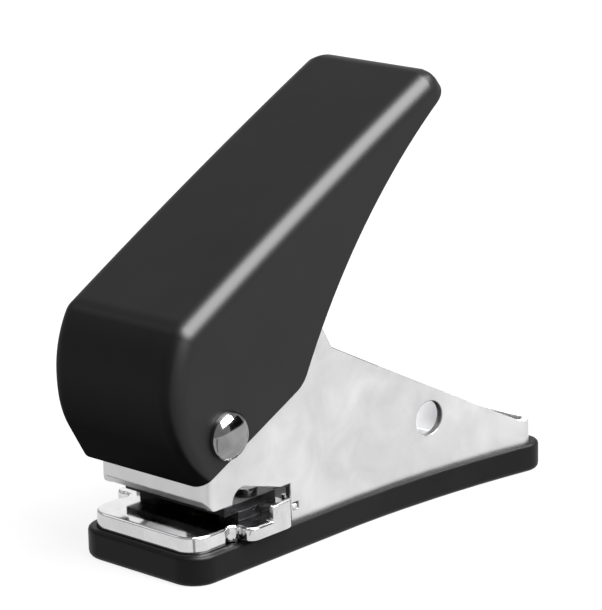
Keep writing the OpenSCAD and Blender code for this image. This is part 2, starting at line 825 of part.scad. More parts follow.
module lever_channel() {
    color("gray") place() difference() {
        on_slope() {
            difference() {
                side_view(channel_w) polygon([
                    slope_uv([foot_y0, band_top]), slope_uv([foot_y1, band_top]),
                    [channel_u, channel_tail_v], [channel_u, web_v], [web_front_u, web_v]
                ]);
                translate([channel_sheet - channel_half, -far, -far])
                    cube([channel_w - 2 * channel_sheet, 2 * far, far + web_v - channel_sheet]);
            }
        }
        across(sleeve_d + 2 * run_gap, 2 * channel_w, pivot_y, pivot_z);
        across(cam_pin_d + 2 * seat_gap, 2 * channel_w, pivot_y + cam_pin_y, pivot_z + cam_pin_z);
        on_slope() for (u = boss_us) translate([0, u, web_v - channel_sheet - overrun])
            cylinder(d = screw_d + 2 * side_gap, h = channel_sheet + 2 * overrun, $fn = small_fn);
    }
}

// Cam whose lower face is an involute of a circle of radius lever_arm, so that the pin sinks evenly
cam_lead = cam_drop / lever_arm * 180 / PI;
cam_hub_d = 10;
// Side-view point of the involute, from the pivot, that bears on the pin when the lever has turned by t
function involute(t) =
    let (reach = lever_arm * (cam_lead + t) * PI / 180)
    [lever_arm * cos(t) + reach * sin(t), lever_arm * sin(t) - reach * cos(t)];
cam_back_shares = [[1.3, 0.1], [0.9, 1.16], [0.05, 1.16]];
// Lever angles between which the face is drawn: some way before rest and some way past the full stroke
cam_before = -14;
cam_past = 10;
cam_step = 2;

module punch_cam() {
    color("dimgray") place() difference() {
        translate([0, pivot_y, pivot_z]) side_view(cam_w) {
            polygon(concat(
                [[0, 0]],
                [for (t = [cam_before:cam_step:press_angle + cam_past]) involute(t)],
                [for (share = cam_back_shares) lever_arm * share]
            ));
            circle(d = cam_hub_d, $fn = small_fn);
        }
        across(sleeve_d + 2 * run_gap, 2 * cam_w, pivot_y, pivot_z);
        across(cam_pin_d + 2 * seat_gap, 2 * cam_w, pivot_y + cam_pin_y, pivot_z + cam_pin_z);
    }
}

module cam_pin() {
    color("silver") place() across(cam_pin_d, channel_w, pivot_y + cam_pin_y, pivot_z + cam_pin_z);
}

screw_head_d = 4.6;
screw_head_h = 1.6;

module cover_screws() {
    color("silver") place() on_slope() for (u = boss_us) translate([0, u, web_v - channel_sheet]) {
        cylinder(d = screw_d, h = channel_sheet + screw_bite, $fn = small_fn);
        translate([0, 0, -screw_head_h]) cylinder(d = screw_head_d, h = screw_head_h, $fn = small_fn);
    }
}

// Chip tray
foot_steps = 4;
rim_steps = 3;

// The tray's outer plan at height z, drawn in by inset
function tray_ring(inset, z) = outline_ring(
    tray_off - inset, tray_y0 + inset, tray_y1 - inset, tray_front_r - inset, tray_rear_r - inset, z);

module chip_tray() {
    // Each point gives [height, how far the wall stands back there]
    profile = concat(
        [[-overrun, foot_r]],
        arc([foot_r, foot_r], foot_r, -180, -90, foot_steps),
        arc([tray_h - rim_r, rim_r], rim_r, -90, 0, rim_steps),
        [[tray_h + overrun, rim_r]]
    );
    color("#222224") place() difference() {
        intersection() {
            stacked([for (p = profile) tray_ring(p[1], p[0])]);
            translate([-frame_w, -frame_rear, 0]) cube([2 * frame_w, 3 * frame_rear, tray_h]);
        }
        translate([0, 0, tray_floor]) linear_extrude(tray_h) {
            outline(side_gap, arm_y - side_gap, frame_rear + side_gap, side_gap, rear_r + side_gap);
            die_front(side_gap);
        }
    }
}

side_frame();
die_plate();
die_bush();
flight_stop();
guide_plate();
guide_bush();
jaw_rivets();
pivot_sleeve();
cam_spacers();
pivot_washers();
pivot_rivet();
punch_pin();
spring_cup();
return_spring();
lever_channel();
punch_cam();
cam_pin();
lever_cover();
cover_screws();
chip_tray();
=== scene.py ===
import bpy
import json
import math
from mathutils import Matrix, Vector


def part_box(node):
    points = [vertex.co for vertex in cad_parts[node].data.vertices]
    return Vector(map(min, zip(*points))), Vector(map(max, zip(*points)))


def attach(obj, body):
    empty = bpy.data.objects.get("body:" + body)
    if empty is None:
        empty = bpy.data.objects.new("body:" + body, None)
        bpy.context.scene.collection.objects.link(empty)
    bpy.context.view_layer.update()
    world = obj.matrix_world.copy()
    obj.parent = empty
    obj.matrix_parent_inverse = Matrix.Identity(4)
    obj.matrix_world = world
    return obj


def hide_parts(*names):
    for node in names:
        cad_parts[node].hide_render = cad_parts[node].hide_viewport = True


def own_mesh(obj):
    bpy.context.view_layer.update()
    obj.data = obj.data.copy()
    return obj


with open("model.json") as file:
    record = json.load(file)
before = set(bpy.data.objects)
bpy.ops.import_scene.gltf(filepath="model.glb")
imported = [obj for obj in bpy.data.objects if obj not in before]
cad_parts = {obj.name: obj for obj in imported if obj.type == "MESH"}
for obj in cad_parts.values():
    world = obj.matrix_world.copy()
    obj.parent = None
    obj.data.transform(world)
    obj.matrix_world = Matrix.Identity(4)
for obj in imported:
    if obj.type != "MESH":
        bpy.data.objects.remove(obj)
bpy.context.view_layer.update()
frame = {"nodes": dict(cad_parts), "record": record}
mm = 0.001
middleY = 39.5  # the part's own y = 0 is the front of the die plate, the frame's is the middle
pivotAxis = (6.6, 25.0)  # y and z of the lever's pivot in the side view
weldGap = 0.002  # points closer together than this are merged, in millimetres
nodeSmooth = 28  # degrees, edges of the CAD nodes sharper than this stay sharp
slotOf = {entry["node"]: entry["material_slot"] for entry in frame["record"]["subparts"]}
print("frame loaded")


# small helpers


def at(y, z, x=0.0):
    # side view millimetres to the shared frame
    return Vector((x * mm, (y - middleY) * mm, z * mm))


def sideView(co):
    # a point of the shared frame to side view millimetres
    return Vector((co.y / mm + middleY, co.z / mm))


def heading(angle):
    # the side view direction at an angle in radians
    return Vector((math.cos(angle), math.sin(angle)))


def clockwise(d):
    # a quarter turn from d, downwards for a direction that points to the rear
    return Vector((d.y, -d.x))


def angleOf(p, c):
    # degrees of the way from c to p
    return math.degrees(math.atan2(p.y - c.y, p.x - c.x))


def circlesMeet(c1, r1, c2, r2, wanted):
    # one of the two points where two circles of the side view cross
    gap = (c2 - c1).length
    along = (gap * gap + r1 * r1 - r2 * r2) / (2 * gap)
    side = math.sqrt(max(r1 * r1 - along * along, 0))
    e = (c2 - c1) / gap
    n = Vector((-e.y, e.x))
    hits = [c1 + e * along + n * side, c1 + e * along - n * side]
    return max(hits, key=wanted)


def select(obj):
    bpy.ops.object.select_all(action="DESELECT")
    obj.select_set(True)
    bpy.context.view_layer.objects.active = obj


def mode(name):
    bpy.ops.object.mode_set(mode=name)


def pick(obj, faces=None, edges=None, verts=None):
    # selects parts of the mesh by a test on each of them, then goes to edit mode
    mode("OBJECT")
    mesh = obj.data
    for part in (mesh.polygons, mesh.edges, mesh.vertices):
        part.foreach_set("select", [False] * len(part))
    if faces:
        kind = "FACE"
        for p in mesh.polygons:
            p.select = faces(p)
    elif edges:
        kind = "EDGE"
        for e in mesh.edges:
            e.select = edges(*(mesh.vertices[i].co for i in e.vertices))
    else:
        kind = "VERT"
        for v in mesh.vertices:
            v.select = verts(v.co)
    mode("EDIT")
    bpy.ops.mesh.select_mode(type=kind)


def outward(obj):
    # merges doubles and turns all faces outward
    select(obj)
    pick(obj, faces=lambda p: True)
    bpy.ops.mesh.remove_doubles(threshold=weldGap * mm)
    bpy.ops.mesh.normals_make_consistent(inside=False)
    mode("OBJECT")


def setSmooth(obj, angle):
    select(obj)
    bpy.ops.object.shade_smooth_by_angle(angle=math.radians(angle))


def modify(obj, kind, **values):
    # adds a modifier with these values and applies it
    mod = obj.modifiers.new(kind.lower(), kind)
    for key, value in values.items():
        setattr(mod, key, value)
    select(obj)
    bpy.ops.object.modifier_apply(modifier=mod.name)


# sweeping an outline of the side view


def startEdge(name, a, b):
    # one edge from a to b, cut from a plane, ready to be extruded and spun
    bpy.ops.mesh.primitive_plane_add(size=(b - a).length, location=(0, 0, 0))
    obj = bpy.context.object
    obj.name = name
    obj.data.name = name
    pick(obj, verts=lambda co: co.y > 0)
    bpy.ops.mesh.delete(type="VERT")
    mode("OBJECT")
    ends = sorted(obj.data.vertices, key=lambda v: v.co.x)
    ends[0].co = a
    ends[1].co = b
    pick(obj, verts=lambda co: True)
    return obj


def line(p, q):
    # the selected edge goes straight from p to q
    step = (0, (q.x - p.x) * mm, (q.y - p.y) * mm)
    bpy.ops.mesh.extrude_edges_move(TRANSFORM_OT_translate={"value": step})


def arc(center, p, q, steps):
    # the selected edge goes round the center from p to q
    turn = (angleOf(p, center) - angleOf(q, center) + 180) % 360 - 180
    bpy.ops.mesh.spin(steps=steps, angle=math.radians(turn), center=at(center.x, center.y),
                      axis=(1, 0, 0))


def closeSides(obj):
    # a face on each side of the swept outline
    mode("OBJECT")
    outward(obj)
    for side in (-1, 1):
        pick(obj, edges=lambda p, q: p.x * side > 0 and q.x * side > 0)
        bpy.ops.mesh.edge_face_add()
    mode("OBJECT")
    outward(obj)


# shader groups


def newGroup(name, inputs, outputs):
    # an empty node group with named sockets, its input node and its output node
    group = bpy.data.node_groups.new(name, "ShaderNodeTree")
    for way, sockets in (("INPUT", inputs), ("OUTPUT", outputs)):
        for label, kind in sockets.items():
            group.interface.new_socket(name=label, in_out=way, socket_type="NodeSocket" + kind)
    return group, group.nodes.new("NodeGroupInput"), group.nodes.new("NodeGroupOutput")


def addNode(tree, kind, inputs=None, **settings):
    # a shader node with its settings and the values of its unlinked inputs
    node = tree.nodes.new("ShaderNode" + kind)
    for key, value in settings.items():
        setattr(node, key, value)
    for label, value in (inputs or {}).items():
        node.inputs[label].default_value = value
    return node


def wire(tree, *joins):
    # each join is a node and its output, then a node and its input
    for source, output, target, socket in joins:
        tree.links.new(source.outputs[output], target.inputs[socket])


grainValues = dict(fineDetail=3, softDetail=5, softRoughness=0.62, softWarp=0.5)


def grainGroup(v):
    # fine mould or rolling grain with larger soft smudges over it
    group, inp, out = newGroup(
        "surfaceGrain",
        {"Grain Scale": "Float", "Smudge Scale": "Float", "Stretch": "Vector"},
        {"Grain": "Float", "Smudge": "Float"})
    coord = addNode(group, "TexCoord")
    stretch = addNode(group, "VectorMath", operation="MULTIPLY")
    fine = addNode(group, "TexNoise", {"Detail": v["fineDetail"]})
    soft = addNode(group, "TexNoise", {"Detail": v["softDetail"], "Roughness": v["softRoughness"],
                                       "Distortion": v["softWarp"]})
    wire(group,
         (coord, "Object", stretch, 0),
         (inp, "Stretch", stretch, 1),
         (stretch, 0, fine, "Vector"),
         (coord, "Object", soft, "Vector"),
         (inp, "Grain Scale", fine, "Scale"),
         (inp, "Smudge Scale", soft, "Scale"),
         (fine, "Fac", out, "Grain"),
         (soft, "Fac", out, "Smudge"))
    return group


wearValues = dict(samples=6, breakScale=600, breakDetail=4, breakFrom=0.35, breakTo=0.6, least=0.25)


def wearGroup(v):
    # 1 where the surface turns sharply, broken up by a noise, so that worn edges look handled
    group, inp, out = newGroup("edgeWear", {"Width": "Float", "Gain": "Float"},
                               {"Mask": "Float", "Normal": "Vector"})
    bevel = addNode(group, "Bevel", samples=v["samples"])
    geometry = addNode(group, "NewGeometry")
    dot = addNode(group, "VectorMath", operation="DOT_PRODUCT")
    turn = addNode(group, "Math", {0: 1}, operation="SUBTRACT")
    gain = addNode(group, "Math", operation="MULTIPLY", use_clamp=True)
    coord = addNode(group, "TexCoord")
    noise = addNode(group, "TexNoise", {"Scale": v["breakScale"], "Detail": v["breakDetail"]})
    broken = addNode(group, "MapRange", {"From Min": v["breakFrom"], "From Max": v["breakTo"],
                                         "To Min": v["least"]})
    product = addNode(group, "Math", operation="MULTIPLY")
    wire(group,
         (inp, "Width", bevel, "Radius"),
         (bevel, "Normal", dot, 0),
         (geometry, "Normal", dot, 1),
         (dot, "Value", turn, 1),
         (turn, 0, gain, 0),
         (inp, "Gain", gain, 1),
         (coord, "Object", noise, "Vector"),
         (noise, "Fac", broken, "Value"),
         (gain, 0, product, 0),
         (broken, "Result", product, 1),
         (product, 0, out, "Mask"),
         (bevel, "Normal", out, "Normal"))
    return group


grain = grainGroup(grainValues)
wear = wearGroup(wearValues)


# materials


def paintedShadeCoat(tree, shader, coat, f):
    # the coat fades out down the round front: a painted shade that makes the front duller and
    # darker
    coord = addNode(tree, "TexCoord")
    offset = addNode(tree, "VectorMath", {1: at(*f["centre"])}, operation="SUBTRACT")
    flat = addNode(tree, "VectorMath", {1: (0, 1, 1)}, operation="MULTIPLY")
    length = addNode(tree, "VectorMath", operation="LENGTH")
    rim = addNode(tree, "MapRange", {"From Min": f["inner"] * mm, "From Max": f["outer"] * mm},
                  interpolation_type="SMOOTHSTEP")
    parts = addNode(tree, "SeparateXYZ")
    height = addNode(tree, "MapRange", {"From Min": f["top"] * mm, "From Max": f["bottom"] * mm})
    back, ahead = at(f["back"], 0).y, at(f["ahead"], 0).y
    depth = addNode(tree, "MapRange", {"From Min": back, "From Max": ahead},
                    interpolation_type="SMOOTHSTEP")
    both = addNode(tree, "Math", operation="MULTIPLY")
    allThree = addNode(tree, "Math", operation="MULTIPLY")
    weight = addNode(tree, "MapRange", {"To Min": coat, "To Max": f["least"]})
    wire(tree,
         (coord, "Object", offset, 0),
         (offset, 0, flat, 0),
         (flat, 0, length, 0),
         (length, "Value", rim, "Value"),
         (coord, "Object", parts, 0),
         (parts, "Z", height, "Value"),
         (parts, "Y", depth, "Value"),
         (rim, "Result", both, 0),
         (height, "Result", both, 1),
         (both, 0, allThree, 0),
         (depth, "Result", allThree, 1),
         (allThree, 0, weight, "Value"),
         (weight, "Result", shader, "Coat Weight"))


smudgeValues = dict(darkAt=0.32, lightAt=0.68, roughFrom=0.3, roughTo=0.7)
plainFinish = dict(metal=1.0, specular=0.5, coat=0.0, coatRough=0.1, stretch=(1, 1, 1))


def makeMaterial(name, values):
    # the values hold the colours, the roughness range, the bump and the wear of one finish
    v = dict(plainFinish, **values)
    mat = bpy.data.materials.new(name)
    mat.use_nodes = True
    tree = mat.node_tree
    shader = tree.nodes["Principled BSDF"]
    shader.inputs["Metallic"].default_value = v["metal"]
    shader.inputs["Specular IOR Level"].default_value = v["specular"]
    shader.inputs["Coat Weight"].default_value = v["coat"]
    shader.inputs["Coat Roughness"].default_value = v["coatRough"]
    # the round front gets a painted shade: its coat is weakened there
    if "front" in v:
        paintedShadeCoat(tree, shader, v["coat"], v["front"])
    surface = tree.nodes.new("ShaderNodeGroup")
    surface.node_tree = grain
    surface.inputs["Grain Scale"].default_value = v["grainScale"]
    surface.inputs["Smudge Scale"].default_value = v["smudgeScale"]
    surface.inputs["Stretch"].default_value = v["stretch"]
    worn = tree.nodes.new("ShaderNodeGroup")
    worn.node_tree = wear
    worn.inputs["Width"].default_value = v["edgeWidth"] * mm
    worn.inputs["Gain"].default_value = v["edgeGain"]
    tone = addNode(tree, "ValToRGB")
    dark, light = tone.color_ramp.elements
    dark.position, dark.color = smudgeValues["darkAt"], (*v["dark"], 1)
    light.position, light.color = smudgeValues["lightAt"], (*v["light"], 1)
    mix = addNode(tree, "Mix", data_type="RGBA")
    mix.inputs["B"].default_value = (*v["edge"], 1)
    lowRough, highRough = v["rough"]
    rough = addNode(tree, "MapRange", {
        "From Min": smudgeValues["roughFrom"], "From Max": smudgeValues["roughTo"],
        "To Min": lowRough, "To Max": highRough})
    polish = addNode(tree, "Mix", {"B": v["edgeRough"]}, data_type="FLOAT")
    bump = addNode(tree, "Bump", {"Strength": v["bump"], "Distance": v["bumpDepth"] * mm})
    wire(tree,
         (surface, "Smudge", tone, "Fac"),
         (tone, "Color", mix, "A"),
         (worn, "Mask", mix, "Factor"),
         (mix, "Result", shader, "Base Color"),
         (surface, "Smudge", rough, "Value"),
         (rough, "Result", polish, "A"),
         (worn, "Mask", polish, "Factor"),
         (polish, "Result", shader, "Roughness"),
         (surface, "Grain", bump, "Height"),
         (worn, "Normal", bump, "Normal"),
         (bump, "Normal", shader, "Normal"))
    return mat


# edge and edgeRough are the worn edges, widths and depths are in millimetres
finishes = {
    "cover_black": dict(
        dark=(0.0008, 0.0008, 0.0009), light=(0.0014, 0.0014, 0.0015), edge=(0.003, 0.003, 0.0031),
        metal=0.0, rough=(0.4, 0.5), edgeRough=0.36, edgeWidth=0.3, edgeGain=1.5,
        grainScale=5200, smudgeScale=90, bump=0.12, bumpDepth=0.02,
        specular=0.0, coat=0.54, coatRough=0.42,
        # front: where the coat fades, a painted shade down the round front
        front=dict(centre=(14.3, 33.3), inner=18.9, outer=19.5, top=56.0, bottom=24.0,
                   back=11.0, ahead=7.0, least=0.06)),
    "tray_black": dict(
        dark=(0.0008, 0.0008, 0.0009), light=(0.0014, 0.0014, 0.0015), edge=(0.004, 0.004, 0.0042),
        metal=0.0, rough=(0.38, 0.48), edgeRough=0.34, edgeWidth=0.25, edgeGain=2.0,
        grainScale=6000, smudgeScale=120, bump=0.15, bumpDepth=0.02, specular=0.12),
    "plated_steel": dict(
        dark=(0.485, 0.485, 0.49), light=(0.565, 0.565, 0.57), edge=(0.95, 0.95, 0.95),
        rough=(0.36, 0.44), edgeRough=0.2, edgeWidth=0.2, edgeGain=2.0,
        grainScale=2600, smudgeScale=110, bump=0.05, bumpDepth=0.02),
    "bright_plate": dict(
        dark=(0.5, 0.5, 0.505), light=(0.64, 0.64, 0.64), edge=(0.9, 0.9, 0.9),
        rough=(0.04, 0.14), edgeRough=0.08, edgeWidth=0.2, edgeGain=2.0,
        grainScale=1800, smudgeScale=160, bump=0.04, bumpDepth=0.02),
    "dark_steel": dict(
        dark=(0.012, 0.012, 0.013), light=(0.03, 0.03, 0.032), edge=(0.12, 0.12, 0.12),
        rough=(0.22, 0.36), edgeRough=0.2, edgeWidth=0.15, edgeGain=2.0,
        grainScale=2200, smudgeScale=300, bump=0.1, bumpDepth=0.02),
    "rivet_steel": dict(
        dark=(0.2, 0.2, 0.203), light=(0.27, 0.27, 0.274), edge=(0.6, 0.6, 0.6),
        rough=(0.06, 0.14), edgeRough=0.08, edgeWidth=0.08, edgeGain=2.0,
        grainScale=2400, smudgeScale=320, bump=0.03, bumpDepth=0.01),
    "tool_steel": dict(
        dark=(0.4, 0.39, 0.38), light=(0.55, 0.54, 0.52), edge=(0.8, 0.8, 0.8),
        rough=(0.16, 0.28), edgeRough=0.12, edgeWidth=0.15, edgeGain=3.0,
        grainScale=5000, smudgeScale=300, stretch=(1, 1, 0.15), bump=0.1, bumpDepth=0.01),
    "bush_brass": dict(
        dark=(0.62, 0.43, 0.17), light=(0.75, 0.56, 0.26), edge=(0.9, 0.75, 0.4),
        rough=(0.18, 0.3), edgeRough=0.14, edgeWidth=0.15, edgeGain=3.0,
        grainScale=4000, smudgeScale=300, bump=0.1, bumpDepth=0.01),
    "washer_nylon": dict(
        dark=(0.05, 0.05, 0.052), light=(0.08, 0.08, 0.083), edge=(0.12, 0.12, 0.12),
        metal=0.0, rough=(0.4, 0.55), edgeRough=0.45, edgeWidth=0.1, edgeGain=1.0,
        grainScale=3000, smudgeScale=400, bump=0.08, bumpDepth=0.01),
    "spring_wire": dict(
        dark=(0.5, 0.5, 0.51), light=(0.68, 0.68, 0.69), edge=(0.8, 0.8, 0.8),
        rough=(0.15, 0.26), edgeRough=0.15, edgeWidth=0.05, edgeGain=1.0,
        grainScale=7000, smudgeScale=500, bump=0.08, bumpDepth=0.005),
    "lever_steel": dict(
        dark=(0.36, 0.36, 0.37), light=(0.5, 0.5, 0.51), edge=(0.8, 0.8, 0.8),
        rough=(0.28, 0.42), edgeRough=0.2, edgeWidth=0.25, edgeGain=3.0,
        grainScale=3000, smudgeScale=110, stretch=(1, 0.2, 1), bump=0.08, bumpDepth=0.02),
}
# the plated steel again, for the cheeks' cut edges and the tabs' ends, and much lighter, as painted
# light, for the cheeks' insides near the rear wall
finishes["cut_edge"] = dict(
    finishes["plated_steel"], dark=(0.16, 0.16, 0.162), light=(0.3, 0.3, 0.303),
    edge=(0.16, 0.16, 0.16), rough=(0.3, 0.5), stretch=(0.2, 1, 1))
finishes["tab_end"] = dict(
    finishes["plated_steel"], edge=(0.5, 0.5, 0.505), edgeRough=0.4, edgeGain=0.5)
# a much lighter plate that paints light onto the dim insides near the rear wall
finishes["lit_inner_plate"] = dict(
    finishes["plated_steel"], dark=(0.88, 0.88, 0.885), light=(0.95, 0.95, 0.955),
    rough=(0.42, 0.5))
materials = {name: makeMaterial(name, values) for name, values in finishes.items()}
print("materials made")


def finish(obj, slotName):
    obj.data.materials.clear()
    obj.data.materials.append(materials[slotName])


for name, slotName in slotOf.items():
    finish(frame["nodes"][name], slotName)
    setSmooth(frame["nodes"][name], nodeSmooth)
print("CAD pieces finished")


# lever cover: names with U are along the lever from the pivot, with V square to it,
# and those with Y and Z are in the side view

coverValues = dict(
    half=14.5, wall=1.2, slope=27.1,
    edge=3.4, tail=4.6, endR=3.2,  # roundings along the sides, at the rear end and over its top
    backV=22.1, crownR=1150.0, crownU=42.8,  # the slightly crowned back
    endU=72.2, lean=0.2, depth=26.0, crownStop=1.5,  # the end wall, and the bend before it
    noseR=19.9, nose=(14.3, 33.3), chinAngle=30.0, crease=4.0,  # the round front
    narrow=0.75, narrowTurn=30.0,  # the side rounding shrinks to this over the nose's last degrees
    flapZ=17.05, flapY0=0.2, flapSlope=25.6, flapY=25.3,  # the flap's straight lower edge
    flapCorner=6.0, flapTurn=63.6, flapR=115.5, hollowEnd=113.0,  # its corner and hollow rear edge
    spare=8.0, block=40.0, overhang=2.0,  # how far the cutting block reaches past the cover
    lip=0.22, lipSteps=2, lipAngle=50, smooth=35,
    noseSteps=24, crownSteps=14, hollowSteps=30, edgeSteps=9,
    tiny=0.01, lineSlack=0.02, arcSlack=0.04, bandSlack=0.05, margin=0.1,  # used to find places
)


def roundOff(obj, v, low, endTop, endLow):
    # round edges, wider at the rear corners, and none along the open underside
    tiny, margin = v["tiny"] * mm, v["margin"] * mm
    slope = math.radians(v["slope"])
    footMiddle = (at(low.x, low.y) + at(endLow.x, endLow.y)) / 2
    weights = obj.data.attributes.new("bevel_weight_edge", "FLOAT", "EDGE")
    for e in obj.data.edges:
        p, q = (obj.data.vertices[i].co for i in e.vertices)
        mid = (p + q) / 2
        reach = sideView(mid) - Vector(pivotAxis)
        atRear = reach.x * math.cos(slope) + reach.y * math.sin(slope) > v["endU"] - v["margin"]
        foot = (mid - footMiddle).yz.length < margin
        if abs(p.x - q.x) < tiny and not foot:
            weights.data[e.index].value = (v["tail"] if atRear else v["edge"]) / v["tail"]
        elif abs(mid.x) < tiny and (mid - at(endTop.x, endTop.y)).length < margin:
            weights.data[e.index].value = v["endR"] / v["tail"]
    modify(obj, "BEVEL", width=v["tail"] * mm, segments=v["edgeSteps"], limit_method="WEIGHT",
           use_clamp_overlap=False, loop_slide=False)


def narrowNose(obj, v, nose, chin, creaseA):
    # the side rounding gets narrower towards the chin and stays so below it
    ahead = heading(math.radians(v["chinAngle"]))
    widest = v["edge"] + v["bandSlack"]
    creaseTurn = angleOf(creaseA, nose) % 360
    chinTurn = angleOf(chin, nose) % 360 - creaseTurn
    for vert in obj.data.vertices:
        point = sideView(vert.co)
        ray = point - nose
        onChin = (point - chin).dot(clockwise(ahead)) > 0
        past = (point - chin).dot(ahead) if onChin else v["noseR"] - ray.length
        turn = angleOf(point, nose) % 360 - creaseTurn
        inset = v["half"] - abs(vert.co.x) / mm
        aboveCrease = turn < 0 and not onChin
        if not -v["bandSlack"] < past < widest or inset > widest or aboveCrease:
            continue
        k = 1.0 if onChin else max(1 - (chinTurn - turn) / v["narrowTurn"], 0.0)
        k = 1 - (1 - v["narrow"]) * k * k * (3 - 2 * k)
        away = -ahead if onChin else ray.normalized()
        point = point + away * past * (1 - k)
        side = 1 if vert.co.x > 0 else -1
        vert.co = at(point.x, point.y, side * (v["half"] - inset * k))


def flapCutter(v):
    # a block with the shape below the flap's edge, and a test for points of that edge
    f, g, w = (math.radians(v[key]) for key in ("flapSlope", "flapTurn", "hollowEnd"))
    corner = Vector((v["flapY"], v["flapZ"] + (v["flapY"] - v["flapY0"]) * math.tan(f)))
    cut = v["flapCorner"] * math.tan((g - f) / 2)
    cornerC = corner + Vector((-cut * math.cos(f) - v["flapCorner"] * math.sin(f),
                               -cut * math.sin(f) + v["flapCorner"] * math.cos(f)))
    cornerA = cornerC + v["flapCorner"] * clockwise(heading(f))
    cornerB = cornerC + v["flapCorner"] * clockwise(heading(g))
    hollow = corner + v["flapR"] * clockwise(heading(g))
    hollowEnd = hollow + v["flapR"] * heading(w)
    first = cornerA - v["block"] * heading(f)
    below = Vector((first.x, -v["spare"]))
    behind = Vector((hollowEnd.x + v["spare"], -v["spare"]))
    above = Vector((behind.x, hollowEnd.y))
    reach = v["half"] + v["overhang"]
    cutter = startEdge("flapCutter", at(first.x, first.y, -reach), at(first.x, first.y, reach))
    line(first, cornerA)
    arc(cornerC, cornerA, cornerB, v["edgeSteps"])
    arc(hollow, cornerB, hollowEnd, v["hollowSteps"])
    line(hollowEnd, above)
    line(above, behind)
    line(behind, below)
    line(below, first)
    closeSides(cutter)

    def onEdge(co):
        p = sideView(co)
        rise = p.y - v["flapZ"] - (p.x - v["flapY0"]) * math.tan(f)
        onHollow = (abs((p - hollow).length - v["flapR"]) < v["arcSlack"]
                    and p.x > cornerB.x - v["margin"])
        onLine = abs(rise) < v["lineSlack"] and p.x < corner.x
        onCorner = abs((p - cornerC).length - v["flapCorner"]) < v["arcSlack"]
        return onHollow or onLine or onCorner

    return cutter, onEdge


def coverShell(v):
    s, c = math.sin(math.radians(v["slope"])), math.cos(math.radians(v["slope"]))

    def onLever(u, w):
        # along the lever and square to it, to the side view
        return Vector(pivotAxis) + Vector((u * c - w * s, u * s + w * c))

    def crownV(u):
        return v["backV"] - v["crownR"] + math.sqrt(v["crownR"] ** 2 - (u - v["crownU"]) ** 2)

    nose = Vector(v["nose"])
    crown = onLever(v["crownU"], v["backV"] - v["crownR"])
    ahead = heading(math.radians(v["chinAngle"]))
    down = clockwise(ahead)
    chin = nose - v["noseR"] * ahead
    # the lower front corner, where the chin meets the flap's sloping edge
    t = math.tan(math.radians(v["flapSlope"]))
    reach = (chin.y - v["flapZ"] - t * (chin.x - v["flapY0"])) / (t * down.x - down.y)
    low = chin + down * reach + down * v["spare"]
    # the soft crease: a small radius that touches both the nose and the back
    soft = circlesMeet(nose, v["noseR"] - v["crease"], crown, v["crownR"] - v["crease"],
                       lambda p: -p.x)
    creaseA = nose + (soft - nose).normalized() * v["noseR"]
    creaseB = crown + (soft - crown).normalized() * v["crownR"]
    lastU = v["endU"] - v["crownStop"] * v["tail"]
    backEnd = onLever(lastU, crownV(lastU))
    endTop = onLever(v["endU"], crownV(v["endU"]))
    endLow = onLever(v["endU"] + v["lean"] * v["depth"], crownV(v["endU"]) - v["depth"])

    # the outline, swept over the whole width, then its roundings and its lower edge
    obj = startEdge("coverShell", at(low.x, low.y, -v["half"]), at(low.x, low.y, v["half"]))
    line(low, chin)
    arc(nose, chin, creaseA, v["noseSteps"])
    arc(soft, creaseA, creaseB, v["edgeSteps"])
    arc(crown, creaseB, backEnd, v["crownSteps"])
    line(backEnd, endTop)
    line(endTop, endLow)
    line(endLow, low)
    closeSides(obj)
    roundOff(obj, v, low, endTop, endLow)
    narrowNose(obj, v, nose, chin, creaseA)
    cutter, onEdge = flapCutter(v)
    modify(obj, "BOOLEAN", operation="DIFFERENCE", object=cutter, solver="EXACT")
    bpy.data.objects.remove(cutter)

    # open underneath, then the wall and its softened lip
    pick(obj, faces=lambda p: all(onEdge(obj.data.vertices[i].co) for i in p.vertices))
    bpy.ops.mesh.delete(type="FACE")
    mode("OBJECT")
    outward(obj)
    modify(obj, "SOLIDIFY", thickness=v["wall"] * mm, offset=-1, use_even_offset=True,
           use_quality_normals=True)
    modify(obj, "BEVEL", width=v["lip"] * mm, segments=v["lipSteps"], limit_method="ANGLE",
           angle_limit=math.radians(v["lipAngle"]), use_clamp_overlap=False)
    return obj


cover = coverShell(coverValues)
setSmooth(cover, coverValues["smooth"])
modify(cover, "WEIGHTED_NORMAL", keep_sharp=True)
finish(cover, "cover_black")
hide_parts("lever_cover")
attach(cover, "lever")
print("lever cover modelled")


# sheet pieces and the moulded tray: merged copies of the CAD pieces with their edges broken

sheetValues = dict(
    side_frame=dict(body="frame", width=0.14),
    die_plate=dict(body="frame", width=0.12, top=0.45, topZ=8.2),  # softer round its top face
    flight_stop=dict(body="frame", width=0.08, front=11.6),
    guide_plate=dict(body="frame", width=0.1),
    chip_tray=dict(body="tray", width=0.2),
)
edgeValues = dict(
    merge=0.003, flat=0.6,  # millimetres and degrees below which the copy's parts are joined
    sharp=35, smooth=40,  # degrees
    level=0.02, upright=0.3,  # how a top edge is told: height in millimetres, the side's normal
    steps=2, topSteps=3,
)


